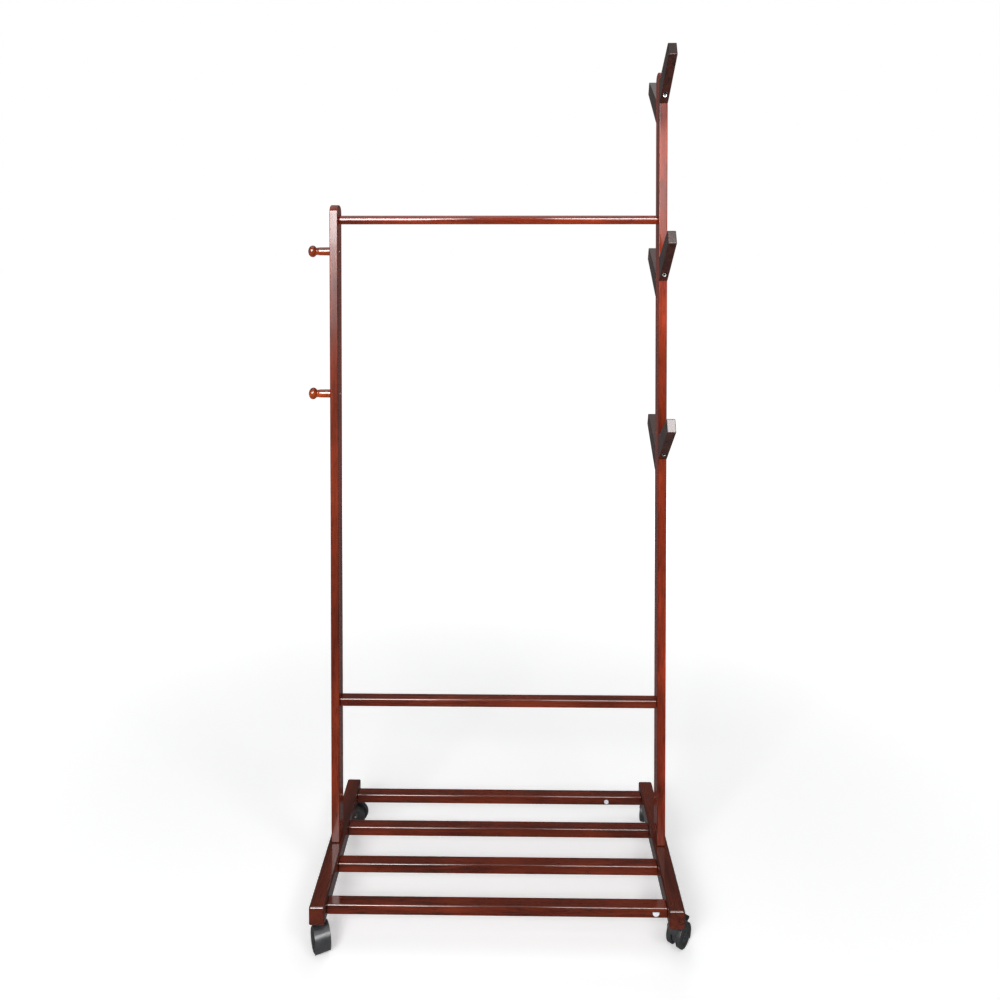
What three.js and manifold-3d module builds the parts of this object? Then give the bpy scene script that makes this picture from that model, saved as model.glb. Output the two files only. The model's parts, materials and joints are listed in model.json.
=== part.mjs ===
// A wooden clothes rack on casters: a low left post and a tall right post stand on two foot beams,
// joined by a hanging rod, a lower bar and four base slats. The left post carries two pegs, the right
// post six hooks, and each foot beam end has a hooded twin-wheel caster. Millimetres, +Z up.
import * as THREE from "three";
import { RoundedBoxGeometry } from "three/addons/geometries/RoundedBoxGeometry.js";
import { mergeVertices } from "three/addons/utils/BufferGeometryUtils.js";
import Module from "manifold-3d";

// Driving dimensions
const POST_SPACING = 634; // between the posts' centre planes, and the foot beams'
const CASTER_HEIGHT = 48; // from the floor to the foot beams' undersides
const BEAM = { width: 28, length: 348, height: 33 };
const POST = { thick: 16, deep: 37, round: 1.5, crown: 15 };
const LEFT_TOP = 1326;
const RIGHT_TOP = 1581;
const ROD = { radius: 8.5, z: 1297 };
const BAR = { deep: 21, height: 16, z: 353.5 };
const SLAT = { deep: 22.5, height: 18, top: 72.5, pitch: 97 };
const PEG = { shaft: 8, head: 11.5, reach: 45, headLength: 17 };
const PEG_HEIGHTS = { upper: 1236, lower: 958 };
const HOOK = { width: 16, seat: 45.6, reach: 91, tipLow: 73, tipHigh: 96.5, lean: 10, rearDrop: 31.5 };
const HOOK_HEIGHTS = { top: 1518, middle: 1178, low: 835 }; // undersides of the front hooks
const HOOK_BOLT = { rise: 13.5, seat: 10.5, head: 4.2, headLength: 4, shank: 2.5, grip: 22 };
const NUT = { radius: 5, length: 12, z: 104 };
const POST_BOLT = { shank: 3, head: 6, headLength: 5, counterbore: 8 };
const SCREW = { shank: 2, head: 4.2, headLength: 2.6, length: 42 };
const CAP = { radius: 4.6, halfWidth: 6, band: 1.5, thick: 2.4, drop: 10.8 };
const CAP_FROM_END = { front: 20.1, rear: 74 };
const GAP = 0.3; // clearance between touching pieces

// Caster, with its swivel axis at x = y = 0 and its wheels trailing along +X
const END_INSET = 20; // swivel axis to the foot beam's end
const TRAIL = 11;
const WHEEL = { radius: 20, inner: 4.9, outer: 13.8, sides: 24, edge: 1.4 };
const AXLE = { radius: 2, halfLength: 13.4 };
const HOOD = { outer: 22.7, inner: 21.2, halfWidth: 14, from: -38, to: 135, web: 4.5, webRadius: 15 };
const BOSS = { radius: 9, top: CASTER_HEIGHT - 1.5 };
const STEM = { pin: 3, flange: 7.5, flangeLow: CASTER_HEIGHT - 1.2, shank: 4, bottom: 25, top: 70 };
const LEVER = { x: 14.5, z: 26, tilt: 15, thick: 3, halfRoot: 2.5, halfTab: 5, tabFrom: 8.3, tip: 19.08 };
const PIN = { radius: 0.9, halfLength: 4.3 };
const HEADINGS = { front_left: -64, front_right: 50, rear_left: -12, rear_right: 70 };
const BRAKED = ["front_right", "rear_right"];

const CASTER_X = POST_SPACING / 2;
const CASTER_Y = BEAM.length / 2 - END_INSET;
const BEAM_TOP = CASTER_HEIGHT + BEAM.height;
const INNER_SPAN = POST_SPACING - POST.thick - 2 * GAP; // between the posts' inner faces
const SLAT_SPAN = POST_SPACING - BEAM.width - 2 * GAP;
const FRONT = -POST.deep / 2;

const wasm = await Module();
wasm.setup();

// Materials
const finish = (color, roughness, metalness = 0) =>
  new THREE.MeshStandardMaterial({ color, roughness, metalness });
const WOOD = finish(0x6b2a18, 0.25);
const DARK_WOOD = finish(0x402824, 0.3);
const STEEL = finish(0xb8babd, 0.3, 1);
const PLASTIC = finish(0x2c2c2e, 0.45);
const TREAD = finish(0x1c1c1d, 0.6);
const WHITE = finish(0xe6e6ea, 0.4);

// A three.js geometry as a manifold solid, for joining and cutting.
function solid(geometry) {
  geometry.deleteAttribute("normal");
  geometry.deleteAttribute("uv");
  const merged = mergeVertices(geometry, 1e-4);
  return new wasm.Manifold(
    new wasm.Mesh({
      numProp: 3,
      vertProperties: merged.attributes.position.array,
      triVerts: new Uint32Array(merged.index.array),
    }),
  );
}

// A solid or a geometry as a named mesh.
function piece(name, shape, material) {
  let geometry = shape;
  if (!shape.isBufferGeometry) {
    const mesh = shape.getMesh();
    geometry = new THREE.BufferGeometry();
    geometry.setAttribute("position", new THREE.BufferAttribute(mesh.vertProperties, 3));
    geometry.setIndex(new THREE.BufferAttribute(mesh.triVerts, 1));
    geometry.computeVertexNormals();
  }
  const made = new THREE.Mesh(geometry, material);
  made.name = name;
  return made;
}

// A rod of round section along an axis, from one coordinate to another on it.
function rod(axis, radius, from, to, sides = 12) {
  const geometry = new THREE.CylinderGeometry(radius, radius, to - from, sides);
  if (axis === "x") geometry.rotateZ(-Math.PI / 2);
  if (axis === "z") geometry.rotateX(Math.PI / 2);
  const middle = (from + to) / 2;
  geometry.translate(axis === "x" ? middle : 0, axis === "y" ? middle : 0, axis === "z" ? middle : 0);
  return geometry;
}

// A turned shape: [radius, height] points from the axis at the bottom to the axis at the top, round Z.
function turned(profile, sides = 12) {
  const points = profile.map(([r, z]) => new THREE.Vector2(r, z));
  return new THREE.LatheGeometry(points, sides).rotateX(Math.PI / 2);
}

// A shape drawn in the Y-Z plane, extruded along X to a thickness centred on x = 0, with rounded edges.
function plate(shape, thick, round) {
  const options = { depth: thick - 2 * round, bevelSize: round, bevelThickness: round };
  const geometry = new THREE.ExtrudeGeometry(shape, {
    ...options,
    bevelOffset: -round,
    bevelSegments: 1,
    bevelEnabled: round > 0,
    curveSegments: 5,
  });
  geometry.translate(0, 0, -options.depth / 2);
  return geometry.applyMatrix4(
    new THREE.Matrix4().makeBasis(
      new THREE.Vector3(0, 1, 0),
      new THREE.Vector3(0, 0, 1),
      new THREE.Vector3(1, 0, 0),
    ),
  );
}

const box = (x, y, z, round) => new RoundedBoxGeometry(x, y, z, 1, round);
const cut = (body, ...tools) => tools.reduce((left, tool) => left.subtract(solid(tool)), body);

const rack = new THREE.Group();

// Foot beams: holes for the caster stems at both ends, and the post bolt's counterbored hole
for (const [side, sign] of [["left", -1], ["right", 1]]) {
  const tools = [-1, 1].map((end) =>
    rod("z", STEM.shank + GAP, -BEAM.height, STEM.top + 1 - CASTER_HEIGHT - BEAM.height / 2)
      .translate(0, end * CASTER_Y, 0),
  );
  tools.push(rod("z", POST_BOLT.shank + GAP, -BEAM.height, BEAM.height));
  tools.push(rod("z", POST_BOLT.head + 1, -BEAM.height, POST_BOLT.counterbore - BEAM.height / 2));
  const beam = cut(solid(box(BEAM.width, BEAM.length, BEAM.height, 3)), ...tools);
  const mesh = piece(`${side}_foot_beam`, beam, WOOD);
  mesh.position.set(sign * CASTER_X, 0, CASTER_HEIGHT + BEAM.height / 2);
  rack.add(mesh);
}

// Posts: boards with a crowned top, drilled for every fastening
function post(top) {
  const foot = BEAM_TOP + GAP;
  const shape = new THREE.Shape();
  shape.moveTo(FRONT, foot);
  shape.lineTo(-FRONT, foot);
  shape.lineTo(-FRONT, top - POST.crown);
  shape.absellipse(0, top - POST.crown, -FRONT, POST.crown, 0, Math.PI);
  shape.closePath();
  return solid(plate(shape, POST.thick, POST.round));
}
const acrossAt = (z) => rod("x", SCREW.shank + GAP, -POST.thick, POST.thick, 8).translate(0, 0, z);
const headAt = (z, out) =>
  rod("x", SCREW.head + GAP, POST.thick / 2 - SCREW.headLength - GAP, POST.thick)
    .rotateY(out > 0 ? 0 : Math.PI)
    .translate(0, 0, z);
for (const [side, sign, top] of [["left", -1, LEFT_TOP], ["right", 1, RIGHT_TOP]]) {
  const nutHole = rod("x", NUT.radius + GAP, POST.thick / 2 - NUT.length - 2 * GAP, POST.thick)
    .rotateY(sign < 0 ? 0 : Math.PI)
    .translate(0, 0, NUT.z);
  const boltHole = rod("z", POST_BOLT.shank + GAP, BEAM_TOP - 5, NUT.z + 10);
  const tools = [nutHole, boltHole];
  for (const z of [ROD.z, BAR.z]) tools.push(acrossAt(z), headAt(z, sign));
  if (side === "left") {
    for (const z of Object.values(PEG_HEIGHTS)) tools.push(acrossAt(z), headAt(z, 1));
  } else {
    for (const height of Object.values(HOOK_HEIGHTS)) {
      const z = height + HOOK_BOLT.rise;
      tools.push(rod("y", HOOK_BOLT.shank + GAP, 2 * FRONT, FRONT + HOOK_BOLT.grip + 1, 8)
        .translate(0, 0, z));
      tools.push(rod("y", HOOK_BOLT.shank + GAP, -FRONT - HOOK_BOLT.grip - 1, -2 * FRONT, 8)
        .translate(0, 0, z - HOOK.rearDrop));
    }
  }
  const mesh = piece(`${side}_post`, cut(post(top), ...tools), WOOD);
  mesh.position.x = sign * CASTER_X;
  rack.add(mesh);
}

// Post bolt, up through the foot beam into a barrel nut in the post
for (const [side, sign] of [["left", -1], ["right", 1]]) {
  const seat = CASTER_HEIGHT + POST_BOLT.counterbore - GAP;
  const bolt = turned([
    [0, seat - POST_BOLT.headLength],
    [POST_BOLT.head, seat - POST_BOLT.headLength],
    [POST_BOLT.head, seat],
    [POST_BOLT.shank, seat],
    [POST_BOLT.shank, NUT.z + 9],
    [0, NUT.z + 9],
  ]);
  const boltMesh = piece(`${side}_post_bolt`, bolt, STEEL);
  boltMesh.position.x = sign * CASTER_X;
  const nut = cut(
    solid(rod("x", NUT.radius, POST.thick / 2 - NUT.length, POST.thick / 2)),
    rod("z", POST_BOLT.shank + GAP, -10, 10),
  );
  const nutMesh = piece(`${side}_barrel_nut`, nut, STEEL);
  nutMesh.position.set(sign * CASTER_X, 0, NUT.z);
  nutMesh.rotation.z = sign < 0 ? 0 : Math.PI;
  rack.add(boltMesh, nutMesh);
}

// Hanging rod and lower bar, each with a pilot hole in both ends
const pilots = [-1, 1].map((end) =>
  rod("x", SCREW.shank + GAP, INNER_SPAN / 2 - SCREW.length, INNER_SPAN, 8)
    .rotateY(end > 0 ? 0 : Math.PI),
);
const hangingRod = cut(
  solid(rod("x", ROD.radius, -INNER_SPAN / 2, INNER_SPAN / 2, 24)),
  ...pilots.map((tool) => tool.clone()),
);
const lowerBar = cut(solid(box(INNER_SPAN, BAR.deep, BAR.height, 3)), ...pilots);
for (const [name, shape, z] of [
  ["hanging_rod", hangingRod, ROD.z],
  ["lower_cross_bar", lowerBar, BAR.z],
]) {
  const mesh = piece(name, shape, WOOD);
  mesh.position.z = z;
  rack.add(mesh);
}

// A wood screw along +X, its head's face at x = 0 and its shank running to -length
function screw(length) {
  return turned(
    [
      [0, -length],
      [SCREW.shank, 3 - length],
      [SCREW.shank, -SCREW.headLength],
      [SCREW.head, -SCREW.headLength],
      [SCREW.head, 0],
      [0, 0],
    ],
    10,
  ).rotateY(Math.PI / 2);
}
for (const [name, z] of [["rod_screw", ROD.z], ["bar_screw", BAR.z]]) {
  for (const [side, sign] of [["left", -1], ["right", 1]]) {
    const mesh = piece(`${side}_${name}`, screw(SCREW.length), STEEL);
    mesh.position.set(sign * (CASTER_X + POST.thick / 2), 0, z);
    mesh.rotation.z = sign > 0 ? 0 : Math.PI;
    rack.add(mesh);
  }
}

// Pegs turned with a knob, screwed on through the left post from its inner face
for (const [name, z] of Object.entries(PEG_HEIGHTS)) {
  const knob = PEG.reach - PEG.headLength;
  const profile = [[0, GAP], [PEG.shaft, GAP], [PEG.shaft - 0.4, knob]];
  for (let i = 1; i <= 6; i++) {
    const turn = (Math.PI * (i + 0.4)) / 6.4;
    const r = PEG.head * Math.sin(turn);
    profile.push([i === 6 ? 0 : r, knob + (PEG.headLength * (1 - Math.cos(turn))) / 2]);
  }
  const pilot = rod("z", SCREW.shank + GAP, -5, knob, 8);
  const mesh = piece(`${name}_peg`, cut(solid(turned(profile, 20)), pilot), WOOD);
  mesh.position.set(-CASTER_X - POST.thick / 2, 0, z);
  mesh.rotation.y = -Math.PI / 2;
  const screwMesh = piece(`${name}_peg_screw`, screw(POST.thick + 20), STEEL);
  screwMesh.position.set(-CASTER_X + POST.thick / 2, 0, z);
  rack.add(mesh, screwMesh);
}

// Slanted hooks on the right post, a front one and a lower rear one at each level, with their bolts
function hook() {
  const face = FRONT - GAP;
  const shape = new THREE.Shape();
  shape.moveTo(face, 0);
  shape.lineTo(face, HOOK.seat);
  shape.lineTo(face - HOOK.reach + HOOK.lean, HOOK.tipHigh);
  shape.lineTo(face - HOOK.reach, HOOK.tipLow);
  shape.closePath();
  const bored = rod("y", HOOK_BOLT.shank + GAP, 3 * FRONT, 0, 8).translate(0, 0, HOOK_BOLT.rise);
  const seated = rod("y", HOOK_BOLT.head + 0.6, -80, face - HOOK_BOLT.seat)
    .translate(0, 0, HOOK_BOLT.rise);
  return cut(solid(plate(shape, HOOK.width, 1)), bored, seated);
}
function hookBolt() {
  const under = HOOK_BOLT.grip - GAP;
  const top = HOOK_BOLT.seat + 2 * GAP;
  return turned([
    [0, -under],
    [HOOK_BOLT.shank, -under],
    [HOOK_BOLT.shank, top],
    [HOOK_BOLT.head, top],
    [HOOK_BOLT.head, top + HOOK_BOLT.headLength],
    [2.3, top + HOOK_BOLT.headLength],
    [2.3, top + 1.2],
    [0, top + 1.2],
  ]).rotateX(Math.PI / 2).translate(0, FRONT, HOOK_BOLT.rise);
}
for (const [level, height] of Object.entries(HOOK_HEIGHTS)) {
  for (const [end, turn, drop] of [["front", 0, 0], ["rear", Math.PI, HOOK.rearDrop]]) {
    const pair = new THREE.Group();
    pair.add(piece(`${level}_${end}_hook`, hook(), DARK_WOOD));
    pair.add(piece(`${level}_${end}_hook_bolt`, hookBolt(), STEEL));
    pair.position.set(CASTER_X, 0, height - drop);
    pair.rotation.z = turn;
    rack.add(pair);
  }
}

// Base slats, front to back, and the plastic caps over the fittings in the outer two: a cap with a
// flat top and a round underside in the front slat, and a round one in the rear slat
function capSolid(name, grow, thick) {
  const { radius, halfWidth, band } = CAP;
  if (name === "rear") return solid(rod("y", radius + grow, -thick / 2, thick / 2, 16));
  const shape = new THREE.Shape();
  const top = (band + halfWidth) / 2;
  shape.moveTo(halfWidth + grow, top + grow);
  shape.lineTo(-halfWidth - grow, top + grow);
  shape.absarc(0, top - band, halfWidth + grow, Math.PI, 2 * Math.PI);
  shape.closePath();
  const geometry = new THREE.ExtrudeGeometry(shape, { depth: thick, bevelEnabled: false, curveSegments: 12 });
  return solid(geometry.translate(0, 0, -thick / 2).rotateX(Math.PI / 2));
}
const SLAT_PLACES = { front: -1.5, front_middle: -0.5, rear_middle: 0.5, rear: 1.5 };
for (const [name, place] of Object.entries(SLAT_PLACES)) {
  let slat = solid(box(SLAT_SPAN, SLAT.deep, SLAT.height, 2.5));
  const fromEnd = CAP_FROM_END[name];
  if (fromEnd !== undefined) {
    const x = SLAT_SPAN / 2 - fromEnd;
    const sunk = CAP.thick - 0.8; // the rest stands proud of the slat
    const seat = 2 * (sunk + GAP);
    slat = slat.subtract(
      capSolid(name, GAP, seat).translate([x, -SLAT.deep / 2, SLAT.height / 2 - CAP.drop]),
    );
    const cap = piece(`${name}_slat_cap`, capSolid(name, 0, CAP.thick), WHITE);
    cap.position.set(x, place * SLAT.pitch - SLAT.deep / 2 + sunk - CAP.thick / 2,
      SLAT.top - CAP.drop);
    rack.add(cap);
  }
  const mesh = piece(`${name}_slat`, slat, WOOD);
  mesh.position.set(0, place * SLAT.pitch, SLAT.top - SLAT.height / 2);
  rack.add(mesh);
}

// Casters
const degrees = THREE.MathUtils.degToRad;

// A stretch of ring in the X-Z plane about the axle, through the caster's full width
function ringSector(inner, outer, from, to, halfWidth) {
  const shape = new THREE.Shape();
  shape.absarc(0, 0, outer, degrees(from), degrees(to), false);
  if (inner > 0) shape.absarc(0, 0, inner, degrees(to), degrees(from), true);
  else shape.lineTo(0, 0);
  shape.closePath();
  const options = { depth: 2 * halfWidth, bevelEnabled: false, curveSegments: 11 };
  return new THREE.ExtrudeGeometry(shape, options)
    .translate(0, 0, -halfWidth)
    .rotateX(Math.PI / 2)
    .translate(TRAIL, 0, WHEEL.radius);
}

// The hood: a shell over both wheels, a web between them, and a boss round the stem
function hood(braked) {
  const shell = solid(ringSector(HOOD.inner, HOOD.outer, HOOD.from, HOOD.to, HOOD.halfWidth));
  const web = solid(ringSector(0, HOOD.inner + 0.6, HOOD.from, HOOD.to, HOOD.web));
  const hub = solid(rod("y", HOOD.webRadius, -HOOD.web, HOOD.web, 16).translate(TRAIL, 0, WHEEL.radius));
  const boss = solid(rod("z", BOSS.radius, CASTER_HEIGHT - 20, BOSS.top, 14));
  const wheelSpace = solid(
    rod("y", HOOD.inner, -20, 20, 24).translate(TRAIL, 0, WHEEL.radius),
  ).subtract(solid(new THREE.BoxGeometry(90, 2 * HOOD.web, 90)));
  let made = shell.add(web).add(hub).add(boss).subtract(wheelSpace);
  made = cut(
    made,
    rod("z", STEM.pin + GAP, STEM.bottom - 1, CASTER_HEIGHT, 10),
    rod("y", AXLE.radius + GAP, -20, 20, 10).translate(TRAIL, 0, WHEEL.radius),
  );
  if (!braked) return made;
  const pocket = new THREE.BoxGeometry(20, 2 * (LEVER.halfRoot + 0.4), 8.6);
  pocket.translate(TRAIL + LEVER.x + 6, 0, LEVER.z + 0.9);
  return cut(made, pocket, rod("y", PIN.radius + GAP, -9, 9, 8).translate(TRAIL + LEVER.x, 0, LEVER.z));
}

// A wheel with eased tread edges, on the +Y side of the web
function wheel() {
  const { radius, inner, outer, edge, sides } = WHEEL;
  const reach = radius / Math.cos(Math.PI / sides); // so that the flats, not the corners, are at radius
  const profile = [
    [AXLE.radius + GAP, inner],
    [reach - edge, inner],
    [reach, inner + edge],
    [reach, outer - edge],
    [reach - edge, outer],
    [AXLE.radius + GAP, outer],
    [AXLE.radius + GAP, inner],
  ];
  const points = profile.reverse().map(([r, y]) => new THREE.Vector2(r, y));
  return new THREE.LatheGeometry(points, sides)
    .rotateY(Math.PI / sides)
    .scale(1, -1, 1)
    .translate(TRAIL, 0, WHEEL.radius);
}

// The stem: a pin for the hood to turn on, a flange under the foot beam, and a shank inside it
function stem() {
  return turned([
    [0, STEM.bottom],
    [STEM.pin, STEM.bottom],
    [STEM.pin, STEM.flangeLow],
    [STEM.flange, STEM.flangeLow],
    [STEM.flange, CASTER_HEIGHT - GAP],
    [STEM.shank, CASTER_HEIGHT - GAP],
    [STEM.shank, STEM.top],
    [0, STEM.top],
  ]);
}

// The brake lever, drawn from its pin along +X and tilted up, with a wider tab outside the hood
function lever() {
  const half = LEVER.thick / 2;
  const root = new THREE.BoxGeometry(LEVER.tabFrom + 4, 2 * LEVER.halfRoot, LEVER.thick);
  root.translate((LEVER.tabFrom - 2) / 2, 0, 0);
  const tabLength = LEVER.tip - LEVER.tabFrom;
  const tab = box(tabLength, 2 * LEVER.halfTab, LEVER.thick, half * 0.6);
  tab.translate(LEVER.tabFrom + tabLength / 2, 0, 0);
  return cut(solid(root).add(solid(tab)), rod("y", PIN.radius + GAP, -9, 9, 8));
}

const PLACES = {
  front_left: [-CASTER_X, -CASTER_Y],
  front_right: [CASTER_X, -CASTER_Y],
  rear_left: [-CASTER_X, CASTER_Y],
  rear_right: [CASTER_X, CASTER_Y],
};
for (const [corner, [x, y]] of Object.entries(PLACES)) {
  const braked = BRAKED.includes(corner);
  const caster = new THREE.Group();
  caster.position.set(x, y, 0);
  caster.rotation.z = degrees(HEADINGS[corner]);
  caster.add(piece(`${corner}_caster_hood`, hood(braked), PLASTIC));
  const left = piece(`${corner}_left_wheel`, wheel(), TREAD);
  const right = piece(`${corner}_right_wheel`, solid(wheel()).mirror([0, 1, 0]), TREAD);
  const axle = rod("y", AXLE.radius, -AXLE.halfLength, AXLE.halfLength, 10)
    .translate(TRAIL, 0, WHEEL.radius);
  caster.add(left, right, piece(`${corner}_axle`, axle, STEEL));
  caster.add(piece(`${corner}_stem`, stem(), STEEL));
  if (braked) {
    const arm = piece(`${corner}_brake_lever`, lever(), PLASTIC);
    arm.position.set(TRAIL + LEVER.x, 0, LEVER.z);
    arm.rotation.y = -degrees(LEVER.tilt);
    const pin = piece(`${corner}_brake_pin`, rod("y", PIN.radius, -PIN.halfLength, PIN.halfLength, 8), STEEL);
    pin.position.set(TRAIL + LEVER.x, 0, LEVER.z);
    caster.add(arm, pin);
  }
  rack.add(caster);
}

// The origin is the middle of the rack's own outline, on the floor.
const outline = new THREE.Box3().setFromObject(rack, true);
const middle = outline.getCenter(new THREE.Vector3());
rack.position.set(-middle.x, -middle.y, -outline.min.z);
const object = new THREE.Group();
object.add(rack);

export default object;
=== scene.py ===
import json
from math import cos, pi, radians, sin

import bmesh
import bpy
import numpy as np
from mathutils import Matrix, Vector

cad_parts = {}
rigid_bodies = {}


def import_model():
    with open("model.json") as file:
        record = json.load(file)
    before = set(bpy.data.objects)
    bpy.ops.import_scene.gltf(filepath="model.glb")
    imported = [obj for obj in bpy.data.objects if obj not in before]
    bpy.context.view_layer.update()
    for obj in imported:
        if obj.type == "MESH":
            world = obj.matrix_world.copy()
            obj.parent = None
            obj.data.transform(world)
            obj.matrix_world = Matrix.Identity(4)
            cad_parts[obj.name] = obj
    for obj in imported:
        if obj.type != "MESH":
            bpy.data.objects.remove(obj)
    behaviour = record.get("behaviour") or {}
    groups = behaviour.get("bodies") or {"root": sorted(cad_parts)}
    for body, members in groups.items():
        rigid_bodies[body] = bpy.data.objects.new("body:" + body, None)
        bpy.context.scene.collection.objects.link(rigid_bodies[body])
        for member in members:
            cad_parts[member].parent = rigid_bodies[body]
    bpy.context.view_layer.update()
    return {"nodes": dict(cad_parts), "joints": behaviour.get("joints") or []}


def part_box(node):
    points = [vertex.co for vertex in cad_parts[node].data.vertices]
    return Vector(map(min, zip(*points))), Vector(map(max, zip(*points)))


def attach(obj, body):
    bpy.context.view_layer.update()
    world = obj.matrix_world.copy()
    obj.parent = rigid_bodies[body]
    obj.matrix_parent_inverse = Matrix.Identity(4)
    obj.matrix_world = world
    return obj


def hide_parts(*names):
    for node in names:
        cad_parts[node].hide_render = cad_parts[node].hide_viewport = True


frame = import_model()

nodes = frame["nodes"]
MM = 0.001

# ---------------------------------------------------------------- camera
# The camera stands at head height, a little right of the rack's middle, and looks almost level.
# Its lens is shifted down, so that the posts stay upright while the feet are in view.
camera_data = bpy.data.cameras.new("camera")
camera_data.sensor_width = 36
camera_data.lens = 29.17
camera_data.shift_y = -0.238
camera_data.clip_start = 0.05
camera_data.clip_end = 200
camera = bpy.data.objects.new("camera", camera_data)
camera.location = (0.03603, -1.57941, 1.24237)
camera.rotation_euler = (radians(90 - 0.982), 0, radians(0.795))
bpy.context.collection.objects.link(camera)
bpy.context.scene.camera = camera
bpy.context.scene.view_settings.view_transform = "Standard"

# ---------------------------------------------------------------- light and floor
# Softboxes stand on both sides of the camera, the left ones the stronger. Two higher ones only show
# in the lacquer, as white lines along every rounded edge. A pale room, a fill on the right, one at
# the rear and a wide lamp overhead light the rest, over a white floor.
world = bpy.data.worlds.new("pale room")
world.use_nodes = True
bpy.context.scene.world = world
air = world.node_tree
sky = air.nodes["Background"]
sky.inputs["Color"].default_value = (0.94, 0.97, 1.0, 1)
backdrop = air.nodes.new("ShaderNodeBackground")
backdrop.inputs["Color"].default_value = (1, 1, 1, 1)
backdrop.inputs["Strength"].default_value = 1.0
sky.inputs["Strength"].default_value = 0.10
ray = air.nodes.new("ShaderNodeLightPath")
either = air.nodes.new("ShaderNodeMixShader")
air.links.new(ray.outputs["Is Camera Ray"], either.inputs["Fac"])
air.links.new(sky.outputs["Background"], either.inputs[1])
air.links.new(backdrop.outputs["Background"], either.inputs[2])
air.links.new(either.outputs["Shader"], air.nodes["World Output"].inputs["Surface"])


def softbox(name, place, aim, width, height, watts):
    """A rectangular lamp at a place, its face turned towards the point that it is aimed at."""
    lamp = bpy.data.lights.new(name, "AREA")
    lamp.shape = "RECTANGLE"
    lamp.size, lamp.size_y, lamp.energy = width, height, watts
    holder = bpy.data.objects.new(name, lamp)
    holder.location = place
    away = holder.location - type(holder.location)(aim)
    holder.rotation_euler = away.to_track_quat("Z", "Y").to_euler()
    bpy.context.collection.objects.link(holder)
    return holder


softbox("left softbox", (-0.78, -1.95, 1.56), (-0.2, 0, 1.0), 0.95, 0.62, 30)
softbox("left spill", (-0.78, -1.95, 1.07), (-0.2, 0, 1.0), 0.95, 0.36, 2.6)
softbox("right softbox", (0.72, -1.95, 1.50), (0.3, 0, 0.9), 0.75, 0.5, 4)
glow_left = softbox("left glow", (-0.78, -1.95, 2.27), (-0.2, 0, 1.0), 1.2, 0.76, 46)
glow_right = softbox("right glow", (0.72, -1.95, 2.42), (0.3, 0, 0.9), 1.0, 0.75, 38)
glow_left.visible_diffuse = glow_right.visible_diffuse = False
warmth = softbox("right fill", (0.95, -1.25, 1.75), (0.33, 0, 1.3), 0.5, 0.5, 8)
rear = softbox("rear fill", (0.4, 2.4, 1.9), (0, 0, 0.7), 1.6, 1.2, 16)
softbox("floor light", (0, 0.2, 3.6), (0, 0.2, 0), 3.2, 3.2, 26)
rear.visible_glossy = warmth.visible_glossy = False

floor_mesh = bpy.data.meshes.new("floor")
floor_mesh.from_pydata([(-40, -40, 0), (40, -40, 0), (40, 40, 0), (-40, 40, 0)], [], [(0, 1, 2, 3)])
floor = bpy.data.objects.new("floor", floor_mesh)
bpy.context.collection.objects.link(floor)
paint = bpy.data.materials.new("white floor paint")
paint.use_nodes = True
shade = paint.node_tree.nodes["Principled BSDF"]
shade.inputs["Base Color"].default_value = (0.93, 0.93, 0.93, 1)
shade.inputs["Roughness"].default_value = 0.9
shade.inputs["Specular IOR Level"].default_value = 0.1
shade.inputs["Emission Color"].default_value = (1, 1, 1, 1)
links, make = paint.node_tree.links.new, paint.node_tree.nodes.new
# the floor glows more with its distance from the rack, so that it fades into the white behind it
spot, far, lit = make("ShaderNodeTexCoord"), make("ShaderNodeVectorMath"), make("ShaderNodeMapRange")
far.operation = "LENGTH"
lit.inputs["From Min"].default_value, lit.inputs["From Max"].default_value = 0.5, 2.6
lit.inputs["To Min"].default_value, lit.inputs["To Max"].default_value = 0.34, 0.92
lit.interpolation_type = "SMOOTHSTEP"
links(spot.outputs["Object"], far.inputs[0])
links(far.outputs["Value"], lit.inputs["Value"])
links(lit.outputs["Result"], shade.inputs["Emission Strength"])
floor.visible_glossy = False
floor_mesh.materials.append(paint)

# ---------------------------------------------------------------- foot beams
# Two rubberwood beams, planed, their edges rounded over, stained mahogany red and sprayed with a
# glossy lacquer. Each carries a post, the ends of the four slats and two casters.
EASE = 3 * MM
COUNTERBORE = 8 * MM
BOLT_HOLE = 7 * MM
HOLD = 0.2  # the flat strip beside each rounding, as a share of its radius


def rounded_outline(corners, radius, steps=5):
    """A polygon, anticlockwise, with rounded corners. An arc's centre is the corner moved in until
    the radius touches both sides, and its points are the centre plus the radius, turned from one
    side's normal to the next. A corner that turns inwards takes the radius the other way.
    Gives the points and their outward normals."""
    corners = np.array(corners, float)
    side = np.roll(corners, -1, 0) - corners
    side /= np.linalg.norm(side, axis=1, keepdims=True)
    after = np.stack([side[:, 1], -side[:, 0]], 1)
    before, came = np.roll(after, 1, 0), np.roll(side, 1, 0)
    bend = np.arctan2(before[:, 0] * after[:, 1] - before[:, 1] * after[:, 0], (before * after).sum(1))
    reach = np.sign(bend)[:, None] * radius
    centre = corners - reach * (before + after) / (1 + (before * after).sum(1, keepdims=True))
    angle = np.arctan2(before[:, 1], before[:, 0])[:, None] + bend[:, None] * np.linspace(0, 1, steps + 1)
    normal = np.stack([np.cos(angle), np.sin(angle)], 2)
    points = centre[:, None] + reach[:, None] * normal
    first = points[:, :1] - HOLD * radius * came[:, None]
    last = points[:, -1:] + HOLD * radius * side[:, None]
    points = np.concatenate([first, points, last], 1)
    normal = np.concatenate([normal[:, :1], normal, normal[:, -1:]], 1)
    return points.reshape(-1, 2), normal.reshape(-1, 2)


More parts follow.
